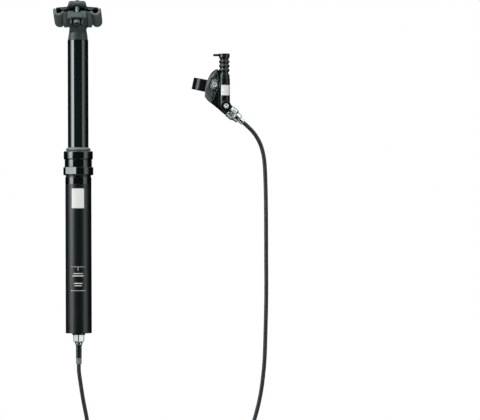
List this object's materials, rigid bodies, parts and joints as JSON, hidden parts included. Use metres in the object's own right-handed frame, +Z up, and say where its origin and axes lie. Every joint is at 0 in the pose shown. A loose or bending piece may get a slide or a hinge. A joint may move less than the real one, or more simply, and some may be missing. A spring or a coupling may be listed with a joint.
{
  "type": "dropper seatpost",
  "caption": "Telescoping bicycle seatpost with a tilting saddle rail clamp, worked through a coiled hydraulic hose by a thumb-button remote for the handlebar.",
  "frame": {"origin": "on the post axis at the top of the clamped wall of the lower tube, just under the collar", "axes": "+Z up the post axis, +Y towards the front of the bicycle, +X to the rider's right"},
  "size_m": [0.2585, 0.0686, 0.6006],
  "materials": {
    "tube_satin": "satin black hard-anodised aluminium",
    "tube_gloss": "gloss black hard-anodised aluminium",
    "collar_gloss": "gloss black anodised aluminium",
    "forged_grey": "satin dark grey forged aluminium",
    "remote_gloss": "gloss black anodised aluminium",
    "silver": "polished silver",
    "spring_steel": "drawn steel",
    "alloy_inner": "turned aluminium",
    "brass": "turned brass",
    "seal_rubber": "black seal rubber",
    "boot_rubber": "matte black rubber",
    "felt": "oiled foam",
    "hose_charcoal": "satin charcoal hose jacket",
    "sleeve_grey": "grey heat-shrink sleeve",
    "tie_black": "black plastic"
  },
  "bodies": {
    "housing": {"lower_tube": "tube_satin", "collar_nut": "collar_gloss", "seal_housing": "collar_gloss", "seal_cap": "collar_gloss", "wiper_seal": "seal_rubber", "foam_ring": "felt", "upper_bushing": "brass", "foot_cap": "tube_satin", "foot_o_ring": "seal_rubber", "retaining_ring": "spring_steel", "foot_screws": "silver", "damper_rod": "spring_steel", "main_piston": "alloy_inner", "piston_seal": "seal_rubber", "poppet_spring": "spring_steel", "hose_fitting": "silver", "post_bleed_screw": "silver", "strain_relief": "boot_rubber", "hose_sleeve": "sleeve_grey", "hose_post_run": "hose_charcoal", "hose_coil": "hose_charcoal", "hose_tie": "tie_black", "hose_remote_run": "hose_charcoal", "remote_body": "remote_gloss", "boot_ring": "remote_gloss", "bellows_boot": "boot_rubber", "return_spring": "spring_steel", "hose_nipple": "silver", "hose_ferrule": "silver", "remote_bleed_screw": "silver", "hinge_pin": "silver", "clamp_bolt": "silver", "clamp_plate": "silver"},
    "upper_post": {"upper_tube": "tube_gloss", "anti_rotation_keys": "brass", "lower_bushing": "brass", "rod_guide": "alloy_inner", "top_out_bumper": "seal_rubber", "seat_head": "forged_grey", "air_valve": "brass", "valve_core": "spring_steel", "valve_cap": "tie_black"},
    "floating": {"floating_piston": "alloy_inner", "floating_seal": "seal_rubber"},
    "poppet": {"poppet_valve": "alloy_inner"},
    "saddle_clamp": {"lower_cradle": "forged_grey", "upper_clamp": "forged_grey"},
    "rear_nut": {"rear_nut": "silver"},
    "front_nut": {"front_nut": "silver"},
    "rear_bolt": {"rear_bolt": "silver", "rear_washer": "silver"},
    "front_bolt": {"front_bolt": "silver", "front_washer": "silver"},
    "button": {"button_cap": "boot_rubber", "plunger_rod": "spring_steel", "master_piston": "alloy_inner", "master_seal": "seal_rubber"},
    "adjuster": {"speed_adjuster": "silver"},
    "clamp_band": {"clamp_band": "remote_gloss"}
  },
  "joints": [
    {"name": "post_slide", "type": "slide", "parent": "housing", "child": "upper_post", "axis": [0, 0, 1], "range_m": [-0.125, 0], "stiffness_N_per_m": 250, "springref_m": 0.5},
    {"name": "saddle_tilt", "type": "hinge", "parent": "upper_post", "child": "saddle_clamp", "pos_m": [0, 0.00227, 0.2093], "axis": [1, 0, 0], "range_deg": [-8, 8]},
    {"name": "rear_bolt_rock", "type": "hinge", "parent": "upper_post", "child": "rear_bolt", "pos_m": [0, -0.02965, 0.18735], "axis": [1, 0, 0], "range_deg": [-4, 4]},
    {"name": "front_bolt_rock", "type": "hinge", "parent": "upper_post", "child": "front_bolt", "pos_m": [0, 0.01771, 0.17377], "axis": [1, 0, 0], "range_deg": [-4, 4]},
    {"name": "rear_nut_turn", "type": "hinge", "parent": "saddle_clamp", "child": "rear_nut", "pos_m": [0, -0.0178, 0.20788], "axis": [1, 0, 0], "range_deg": [-13, 13]},
    {"name": "front_nut_turn", "type": "hinge", "parent": "saddle_clamp", "child": "front_nut", "pos_m": [0, 0.01854, 0.19746], "axis": [1, 0, 0], "range_deg": [-13, 13]},
    {"name": "float_slide", "type": "slide", "parent": "upper_post", "child": "floating", "axis": [0, 0, 1], "range_m": [0, 0.0285]},
    {"name": "button_press", "type": "slide", "parent": "housing", "child": "button", "axis": [0, 0, -1], "range_m": [0, 0.008], "stiffness_N_per_m": 1500, "springref_m": -0.002, "deforming": ["bellows_boot", "return_spring"]},
    {"name": "poppet_lift", "type": "slide", "parent": "housing", "child": "poppet", "axis": [0, 0, 1], "range_m": [0, 0.0025], "deforming": ["poppet_spring"]},
    {"name": "adjuster_turn", "type": "hinge", "parent": "housing", "child": "adjuster", "pos_m": [0.1829, 0, 0.0797], "axis": [0.766, 0, -0.6428], "range_deg": [-160, 160]},
    {"name": "band_swing", "type": "hinge", "parent": "housing", "child": "clamp_band", "pos_m": [0.14086, 0.02913, 0.11366], "axis": [0.2079, 0, 0.9781], "range_deg": [0, 70]}
  ],
  "couplings": [
    {"joint": "rear_bolt_rock", "follows": "saddle_tilt", "ratio": -0.4755},
    {"joint": "front_bolt_rock", "follows": "saddle_tilt", "ratio": -0.4755},
    {"joint": "rear_nut_turn", "follows": "saddle_tilt", "ratio": -1.4755},
    {"joint": "front_nut_turn", "follows": "saddle_tilt", "ratio": -1.4755},
    {"joint": "float_slide", "follows": "post_slide", "ratio": -0.22676},
    {"joint": "poppet_lift", "follows": "button_press", "ratio": 0.3125}
  ]
}
